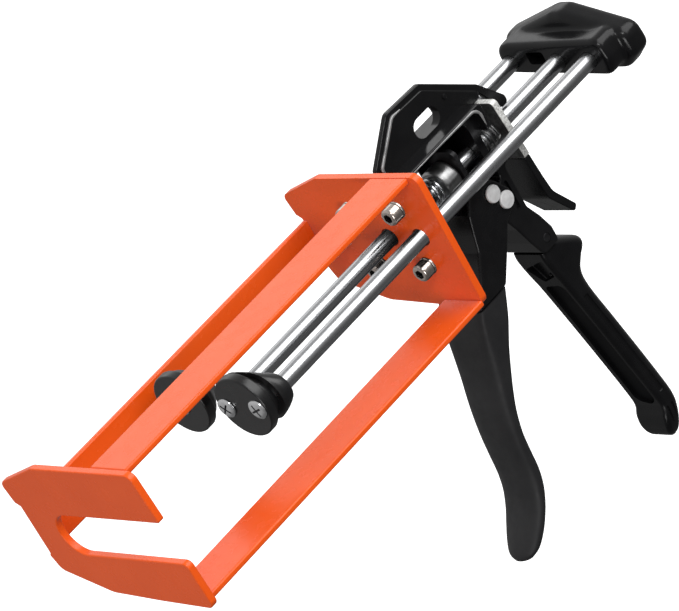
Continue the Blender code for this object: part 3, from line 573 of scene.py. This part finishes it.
# Grip stations: height, front face, rear face, half width.
GRIP = [(-57.3, -61.2, -74.8, 10.0), (-61.0, -61.2, -80.6, 10.2), (-65.6, -62.0, -86.8, 10.2),
        (-69.2, -62.8, -87.6, 10.2), (-73.0, -63.7, -83.6, 10.1), (-78.6, -65.1, -79.6, 10.0),
        (-88.0, -67.1, -79.0, 9.9), (-108.0, -71.1, -82.8, 9.8), (-133.0, -75.9, -87.6, 9.7),
        (-154.0, -79.8, -91.0, 9.9), (-161.0, -80.4, -91.5, 10.0), (-165.6, -78.4, -91.1, 10.1),
        (-171.0, -77.5, -89.3, 9.5), (-175.6, -78.5, -86.7, 7.9), (-178.2, -81.0, -84.2, 5.3)]


def between(rows, parts=5):
    """Rows of a station table with smooth ones put in between (Catmull-Rom)."""
    out = []
    last = len(rows) - 1
    for i in range(last):
        a, b, c, d = rows[max(i - 1, 0)], rows[i], rows[i + 1], rows[min(i + 2, last)]
        for k in range(parts):
            t = k / parts
            out.append(tuple(q + 0.5 * t * (r - p + t * (2 * p - 5 * q + 4 * r - s
                                                         + t * (3 * (q - r) + s - p)))
                             for p, q, r, s in zip(a, b, c, d)))
    return out + [rows[-1]]


def grip_section(z, front, rear, half):
    near, far = DRIVE_Y - half, DRIVE_Y + half
    reach = min(6.4, half - 1.2, (front - rear) / 2 - 0.2)
    corners = [(front, near, 2.4), (front, far, 2.4), (rear, far, reach), (rear, near, reach)]
    return [(x, y, z) for x, y in rounded(corners, 10)]


def band(low, high, from_front, to_front):
    """Outline that follows the grip's front face between two heights, at two depths behind it."""
    rows = [row for row in between(GRIP) if high <= row[0] <= low]
    return ([(row[1] - from_front, row[0]) for row in rows]
            + [(row[1] - to_front, row[0]) for row in reversed(rows)])


def grip():
    handle = skin("grip_moulding", [grip_section(*row) for row in between(GRIP)])
    soften(handle, 1.0, 3, 60)
    window = [(DRIVE_Y - 5.4, -78.6, 3), (DRIVE_Y + 6.8, -77.6, 3), (DRIVE_Y + 6.8, -160.5, 6),
              (DRIVE_Y - 5.4, -157.0, 5)]
    panel = prism("t", band(-76.0, -162.0, -6.0, 2.2), "Y", DRIVE_Y - 9, DRIVE_Y + 9)
    boolean(panel, prism("t", rounded(window, 8), "X", -100, -40), "INTERSECT")
    cut(handle, panel)
    bed = prism("grip_panel_bed", band(-76.0, -162.0, 2.0, 3.0), "Y", DRIVE_Y - 9, DRIVE_Y + 9)
    boolean(bed, prism("t", rounded(window, 8), "X", -100, -40), "INTERSECT")
    done(bed, "frame", "handle_plastic", MATT, "grip")
    pocket = prism("t", rounded([(17.0, -60.8, 1.2), (17.4, -71.4, 1.5), (8.4, -75.2, 1.5),
                                 (2.6, -66.4, 1.5)]), "X", -66.4, -50)
    soften(pocket, 0.8, 3, 50)
    cut(handle, pocket)
    for y, z in ((12.8, -65.4), (14.6, -71.0), (12.2, -72.4)):
        join(handle, turned("t", [(-67.4, 0.9), (-65.9, 0.9), (-65.5, 0.7), (-65.3, 0.3)], "X", y, z, 24))
    for side in (-1, 1):
        at = DRIVE_Y + side * 10.2
        flute = prism("t", band(-86.0, -156.0, 2.9, 6.0), "Y", at - 1.2, at + 1.2)
        soften(flute, 0.9, 4, 50)
        cut(handle, flute)
        for x in (-83.0, -86.4):
            notch = prism("t", rounded([(x, -161.5, 0.6), (x + 1.4, -161.5, 0.6), (x + 1.8, -170.5, 0.6),
                                        (x + 0.6, -170.5, 0.6)]), "Y", at - 0.9, at + 1.2)
            soften(notch, 0.5, 2, 50)
            cut(handle, notch)
    soften(handle, 0.7, 3, 40)
    done(handle, "frame", "handle_plastic", GRIP_BLACK, "grip", angle=40)
    reach = 11.95
    pin = turned("grip_cross_pin", [(DRIVE_Y - reach, 1.9), (DRIVE_Y - reach + 0.2, 2.15),
                                    (DRIVE_Y + reach - 0.2, 2.15), (DRIVE_Y + reach, 1.9)], "Y",
                 *GRIP_PIN, 32)
    done(pin, "frame", "dark_steel", BLACKED_STEEL_AND_SHADE, "grip_pin")


# ---------- rods, tail, pushers ----------

def cross(name, x0, x1, y, z, size, width, turn):
    """Cross recess of a screw: arms of one half length and width, turned about the screw."""
    w, s = width / 2, size
    flat = [(w, w), (s, w), (s, -w), (w, -w), (w, -s), (-w, -s), (-w, -w), (-s, -w), (-s, w), (-w, w),
            (-w, s), (w, s)]
    c, d = math.cos(turn), math.sin(turn)
    return prism(name, [(y + u * c - v * d, z + u * d + v * c) for u, v in flat], "X", x0, x1)


def rods():
    for name, y in (("left_rod", LEFT_Y), ("drive_rod", DRIVE_Y), ("right_rod", RIGHT_Y)):
        rod = turned(name + "_bar", [(ROD_BACK_X, ROD_R - 0.5), (ROD_BACK_X + 0.5, ROD_R),
                                     (ROD_FRONT_X - 0.5, ROD_R), (ROD_FRONT_X, ROD_R - 0.5)], "X", y, 0, 64)
        done(rod, "rod_carriage", "rod", ROD, name)


def tail():
    x = TAIL_X
    body = prism("tail_handle_moulding", rounded([(-27.0, -6.4, 6), (39.6, -9.6, 5), (41.4, -1.0, 6),
                                                  (39.6, 9.6, 6.5), (-27.0, 9.6, 6.5)], 8), "X",
                 x - 14.0, x)
    soften(body, 2.4, 4, 40)
    cap = prism("t", rounded([(-33.0, -5.4, 5), (-26.0, -12.6, 6), (37.0, -14.0, 6), (46.4, -6.4, 5),
                              (45.2, 5.8, 7), (11.0, 18.0, 8), (4.0, 18.0, 8), (-32.4, 6.6, 7)], 8), "X",
                x - 24.0, x - 10.6)
    soften(cap, 4.2, 5, 40)
    join(body, cap)
    melt(body, 0.8, 10)
    for y in (LEFT_Y, DRIVE_Y, RIGHT_Y):
        cut(body, turned("t", [(x - 9.5, ROD_WAY_R), (x + 3, ROD_WAY_R)], "X", y, 0, 40))
        cut(body, turned("t", [(x - 40, 5.2), (x - 20.6, 5.2)], "X", y, 0, 40))
    cut(body, prism("t", rounded([(-8.2, -1.4, 1.4), (2.4, -1.4, 1.4), (2.4, 5.2, 1.4), (-8.2, 5.2, 1.4)]),
                    "X", x - 7, x + 3))
    done(body, "rod_carriage", "handle_plastic", MOULDING, "tail_handle", angle=40)
    for i, y in enumerate((LEFT_Y, DRIVE_Y, RIGHT_Y)):
        h = x - 20.3
        screw = turned("tail_screw_head_%d" % (i + 1),
                       [(h + 6, 2.0), (h - 0.3, 2.0), (h - 0.31, 4.5), (h - 0.6, 4.7), (h - 1.4, 4.6),
                        (h - 2.2, 4.1), (h - 2.8, 3.1), (h - 3.0, 2.2)], "X", y, 0, 40)
        cut(screw, cross("t", h - 5, h - 1.5, y, 0, 2.3, 0.95, 0.5))
        done(screw, "rod_carriage", "fastener", ZINC, "tail_screw_%d" % (i + 1))


def hull_section(x, y_low, y_high, radius):
    """Outline round two equal circles, at one x."""
    out = []
    for k in range(HULL_SIDES):
        a = 2 * math.pi * (k + 0.5) / HULL_SIDES
        out.append((x, (y_high if math.cos(a) > 0 else y_low) + radius * math.cos(a), radius * math.sin(a)))
    return out


def pusher(name, centre, rod_ys):
    """Disc with a boss behind it that takes one rod or two. Rows give depth, spread and radius."""
    r, boss = PUSHER_R, BOSS_R
    half = (max(rod_ys) - min(rod_ys)) / 2
    disc = turned(name + "_moulding", [(FACE_X, r - 0.7), (FACE_X - 0.25, r - 0.25), (FACE_X - 0.8, r),
                                       (FACE_X - 4.2, r), (FACE_X - 4.8, r - 0.3), (FACE_X - 5.0, r - 0.9)],
                  "X", centre, 0, 96)
    rows = between([(4.4, 0.0, r - 0.9), (6.0, 0.15, r - 1.7), (8.0, 0.4, boss + 6.2),
                    (10.4, 0.72, boss + 4.2), (12.8, 0.92, boss + 2.3), (14.6, 1.0, boss + 1.0),
                    (15.4, 1.0, boss + 0.3), (15.8, 1.0, boss - 0.3)], 4)
    sections = []
    for back, blend, radius in rows:
        spread = half * blend
        inner = min(radius, r - 1.2 - spread) if back < 8.2 else radius
        sections.append(hull_section(FACE_X - back, centre - spread, centre + spread, inner))
    join(disc, skin("t", sections))
    for y in rod_ys:
        cut(disc, turned("t", [(FACE_X - 40, ROD_WAY_R), (ROD_FRONT_X + 0.3, ROD_WAY_R)], "X", y, 0, 48))
    done(disc, "rod_carriage", "pusher_plastic", PUSHER, name, angle=38)


def pushers():
    pusher("left_pusher", LEFT_Y, (LEFT_Y,))
    pusher("right_pusher", BARREL_Y, (DRIVE_Y, RIGHT_Y))
    x = FACE_X
    for name, y, turn in (("left_pusher_screw", LEFT_Y, 0.3), ("right_pusher_screw_1", DRIVE_Y, 0.9),
                          ("right_pusher_screw_2", RIGHT_Y, 0.35)):
        screw = turned(name + "_head", [(x - 6, 2.0), (x, 2.0), (x + 0.01, 4.7), (x + 0.3, 4.85),
                                        (x + 0.8, 4.7), (x + 1.15, 4.1), (x + 1.4, 3.0), (x + 1.5, 1.6)],
                       "X", y, 0, 64)
        cut(screw, cross("t", x + 0.2, x + 5, y, 0, 3.1, 0.95, turn))
        done(screw, "rod_carriage", "fastener", ZINC, name)
        # Thin black cross at the floor of the cross recess: painted shade in the hollow of the zinc screw.
        recess = cross(name + "_recess_painted_shade", x + 0.1, x + 0.35, y, 0, 3.0, 0.85, turn)
        done(recess, "rod_carriage", "fastener", BLACKED_STEEL_AND_SHADE, name)


# ---------- trigger ----------

# Sleeve stations: height, front face, rear face, half width, and how round the section is (1 is an ellipse).
SLEEVE_ROWS = [(-52.2, -12.6, -32.6, 14.1, 0.22), (-57.0, -10.2, -30.4, 14.2, 0.28),
               (-65.0, -7.4, -26.6, 14.2, 0.40), (-75.0, -4.4, -20.4, 13.9, 0.55),
               (-84.0, -1.6, -15.8, 13.5, 0.68), (-92.0, 1.0, -11.8, 13.1, 0.75),
               (-101.0, 3.2, -7.8, 12.7, 0.80), (-111.0, 4.9, -4.9, 12.4, 0.82),
               (-121.0, 6.2, -4.0, 12.2, 0.84), (-130.0, 7.2, -3.4, 12.1, 0.85),
               (-138.0, 9.2, -1.4, 12.0, 0.86), (-145.5, 13.2, 2.4, 11.8, 0.88),
               (-152.0, 18.8, 6.6, 11.2, 0.9), (-157.0, 23.2, 10.6, 10.2, 0.92),
               (-161.0, 26.0, 14.8, 8.6, 0.95), (-163.4, 26.2, 18.4, 5.8, 1.0)]


def trigger():
    side = [(-37.6, -6.6, 2), (-32.6, -14.0, 3), (-30.0, -22.0, 4), (-27.6, -30.0, 4), (-20.0, -42.0, 6),
            (-12.6, -51.8, 0), (-32.6, -51.8, 0), (-41.2, -41.6, 8), (-50.2, -30.4, 8), (-59.0, -25.6, 4),
            (-60.4, -19.0, 4), (-54.0, -9.2, 4), (-48.0, -6.4, 3)]
    lever = prism("trigger_pressing", rounded(side, 8), "Y", DRIVE_Y - CHEEK_OUT, DRIVE_Y + CHEEK_OUT)
    soften(lever, 1.5, 4, 40)
    inside = [(-80, 6), (-20, 6), (-20, -13.6), (-34.4, -13.6), (-31.9, -22.4), (-29.6, -30.8),
              (-24.0, -39.6), (-24.0, -46.4), (-80, -46.4)]
    cut(lever, prism("t", rounded([(u, v, 1.0) for u, v in inside], 4), "Y",
                     DRIVE_Y - CHEEK_IN, DRIVE_Y + CHEEK_IN))
    soften(lever, 0.3, 2, 50)
    done(lever, "trigger", "lever_metal", PRESSING, "trigger_lever")
    sections = []
    for z, front, rear, half, power in between(SLEEVE_ROWS, 4):
        middle, depth = (front + rear) / 2, (front - rear) / 2
        row = []
        for k in range(SLEEVE_SIDES):
            a = 2 * math.pi * (k + 0.5) / SLEEVE_SIDES
            c, s = math.cos(a), math.sin(a)
            row.append((middle + depth * math.copysign(abs(c) ** power, c),
                        DRIVE_Y + half * math.copysign(abs(s) ** power, s), z))
        sections.append(row)
    sleeve = skin("trigger_sleeve_moulding", sections)
    soften(sleeve, 0.5, 3, 60)
    done(sleeve, "trigger", "sleeve_plastic", SLEEVE, "trigger_sleeve", angle=50)
    head = CHEEK_OUT + 0.3
    for name, body, (x, z), shank in (("trigger_pivot_rivet", "frame", PIVOT, 2.5),
                                      ("drive_pin_rivet", "trigger", DRIVE_PIN, 2.0)):
        half = [(head, shank), (head + 0.01, 4.1), (head + 0.3, 4.2), (head + 0.9, 4.15), (head + 1.25, 3.9),
                (head + 1.4, 3.3), (head + 1.36, 2.2), (head + 1.5, 1.8), (head + 1.55, 0.4)]
        profile = [(DRIVE_Y - d, r) for d, r in reversed(half)] + [(DRIVE_Y + d, r) for d, r in half]
        rivet = turned(name + "_head", profile, "Y", x, z, 48)
        done(rivet, body, "fastener", RIVET, name)


# ---------- drive and release ----------

def drive():
    x = DRIVE_PIN[0] + 2.3
    plate = prism("drive_plate_blank", rounded([(DRIVE_Y - 9.4, -17.8, 3), (DRIVE_Y + 9.4, -17.8, 3),
                                                (DRIVE_Y + 9.4, 12.6, 4), (DRIVE_Y - 9.4, 12.6, 4)]), "X",
                  x, x + 2.6)
    cut(plate, turned("t", [(x - 5, 4.35), (x + 9, 4.35)], "X", DRIVE_Y, 0, 48))
    soften(plate, 0.35, 2)
    done(plate, "drive", "dark_steel", BLACKED_STEEL_AND_SHADE, "drive_plate")
    a, b = x + 2.9, x + 12.6
    cup = [(a, 4.35), (a, 7.6), (a + 0.5, 8.3), (a + 1.4, 8.7), (a + 2.4, 8.75), (b - 2.4, 8.75),
           (b - 1.1, 8.6), (b - 0.3, 8.1), (b, 7.4), (b, 4.35)]
    collar = turned("thrust_collar_cup", cup, "X", DRIVE_Y, 0, 64, closed=True)
    done(collar, "drive", "dark_steel", DARK, "thrust_collar")
    seat = DRIVE_SEAT_X
    spring = coil("drive_spring_wire", seat, b + 1.1, DRIVE_Y, 0, 6.0, 1.6, 5.5)
    done(spring, "frame", "spring_steel", WIRE, "drive_spring", angle=60, weighted=False)
    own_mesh(spring)


def release():
    plate = prism("release_plate_blank", rounded([(DRIVE_Y - 11.0, -16.0, 1.2), (DRIVE_Y + 11.0, -16.0, 1.2),
                                                  (DRIVE_Y + 11.0, 16.0, 2), (DRIVE_Y - 11.0, 16.0, 2)]), "X",
                  -80.6, -76.9)
    for vertex in plate.data.vertices:
        vertex.co.x += RELEASE_LEAN * vertex.co.z
    cut(plate, turned("t", [(-95, 4.8), (-60, 4.8)], "X", DRIVE_Y, 0, 48))
    soften(plate, 0.5, 3)
    done(plate, "release", "zinc_plate", SPANGLE, "release_plate")
    stem = rounded([(-78.6, -16.4, 0.6), (-82.2, -16.4, 0.6), (-83.2, -30.0, 20), (-84.2, -38.6, 10),
                    (-92.6, -52.2, 1.2), (-89.8, -54.6, 1.2), (-84.2, -46.0, 8), (-80.0, -39.6, 8),
                    (-79.2, -28.0, 20)], 12)
    lever = prism("thumb_lever_pressing", stem, "Y", DRIVE_Y - 9.8, DRIVE_Y + 9.8)
    soften(lever, 0.9, 4, 40)
    done(lever, "release", "lever_metal", PRESSING, "thumb_lever")
    seat = SPRING_SEAT_X - 0.6
    spring = coil("release_spring_wire", -75.7, seat, DRIVE_Y, 0, 5.4, 0.9, 4.6, dead=0.7)
    done(spring, "frame", "spring_steel", DARK, "release_spring", angle=60, weighted=False)
    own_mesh(spring)


# ---------- studio ----------

FLOOR_Z, FLOOR_HALF = -0.30, 12.0       # metres from here on
CAMERA_AT = (0.97308, 1.35443, 0.75721)
CAMERA_LENS = 222.3
LIGHT_AIM = Vector((0.03, 0.0, 0.0))
# Name, direction from the aim, distance, size, watts.
LIGHTS = [("back_bank", (-0.52, -0.745, 0.43), 2.4, (1.4, 0.9), 3.6),
          ("key_box", (-0.50, 0.50, 0.70), 2.0, (1.7, 1.5), 30),
          ("edge_strip", (0.30, 0.62, 0.72), 2.2, (0.9, 0.45), 14),
          ("side_fill", (0.80, 0.60, -0.10), 2.2, (0.9, 0.9), 20)]


def camera():
    data = bpy.data.cameras.new("camera")
    data.sensor_width = 36.0
    data.sensor_fit = "HORIZONTAL"
    data.lens = CAMERA_LENS
    data.clip_end = 50.0
    made = bpy.data.objects.new("camera", data)
    right = Vector((-0.5905, 0.6670, -0.4543))
    back = Vector((0.5164, 0.7449, 0.4225)).normalized()
    right = (right - back * right.dot(back)).normalized()
    up = back.cross(right)
    turn = Matrix((right, up, back)).transposed().to_4x4()
    made.matrix_world = Matrix.Translation(CAMERA_AT) @ turn
    scene.collection.objects.link(made)
    scene.camera = made


def panel(name, direction, distance, size, power):
    data = bpy.data.lights.new(name, "AREA")
    data.shape = "RECTANGLE"
    data.size, data.size_y = size
    data.energy = power
    made = bpy.data.objects.new(name, data)
    at = LIGHT_AIM + Vector(direction).normalized() * distance
    made.location = at
    made.rotation_euler = (at - LIGHT_AIM).to_track_quat("Z", "Y").to_euler()
    scene.collection.objects.link(made)


def studio():
    bm = bmesh.new()
    bmesh.ops.create_grid(bm, x_segments=1, y_segments=1, size=FLOOR_HALF)
    mesh = bpy.data.meshes.new("floor")
    bm.to_mesh(mesh)
    bm.free()
    floor = new_object("floor", mesh)
    floor.location = (0, 0, FLOOR_Z)
    m = Maker("pale_floor", 0.0, 0.8, (0.9, 0.9, 0.9), Specular_IOR_Level=0.1, Emission_Strength=0.5)
    m.shader.inputs["Emission Color"].default_value = (1, 1, 1, 1)
    m.colour(m.ramp(m.noise(0.6, 2.0), [(0.3, (0.9, 0.9, 0.9)), (0.7, (0.93, 0.93, 0.93))]))
    mesh.materials.append(m.material)
    floor.visible_glossy = False
    floor.visible_diffuse = False
    sky()
    for light in LIGHTS:
        panel(*light)


def sky():
    """Room light: dim below and towards the camera's side, brighter above and behind."""
    world = bpy.data.worlds.new("studio")
    scene.world = world
    world.use_nodes = True
    tree = world.node_tree
    back = tree.nodes["Background"]
    back.inputs["Color"].default_value = (1, 1, 1, 1)
    place = tree.nodes.new("ShaderNodeTexCoord")
    split = tree.nodes.new("ShaderNodeSeparateXYZ")
    tree.links.new(place.outputs["Generated"], split.inputs["Vector"])

    def ramp(axis, low_at, high_at, low, high):
        node = tree.nodes.new("ShaderNodeMapRange")
        node.interpolation_type = "SMOOTHSTEP"
        for socket, value in zip(("From Min", "From Max", "To Min", "To Max"), (low_at, high_at, low, high)):
            node.inputs[socket].default_value = value
        tree.links.new(split.outputs[axis], node.inputs["Value"])
        return node.outputs["Result"]

    def maths(operation, a, b):
        node = tree.nodes.new("ShaderNodeMath")
        node.operation = operation
        tree.links.new(a, node.inputs[0])
        tree.links.new(b, node.inputs[1])
        return node.outputs["Value"]

    behind = maths("MULTIPLY", ramp("Y", 0.4, -0.8, 0.0, 0.24), ramp("Z", -0.66, -0.46, 0.15, 1.0))
    tree.links.new(maths("ADD", ramp("Z", -0.5, 0.6, 0.14, 0.50), behind), back.inputs["Strength"])


def main():
    carriage()
    fasteners()
    housing()
    grip()
    rods()
    tail()
    pushers()
    trigger()
    drive()
    release()
    camera()
    studio()


main()
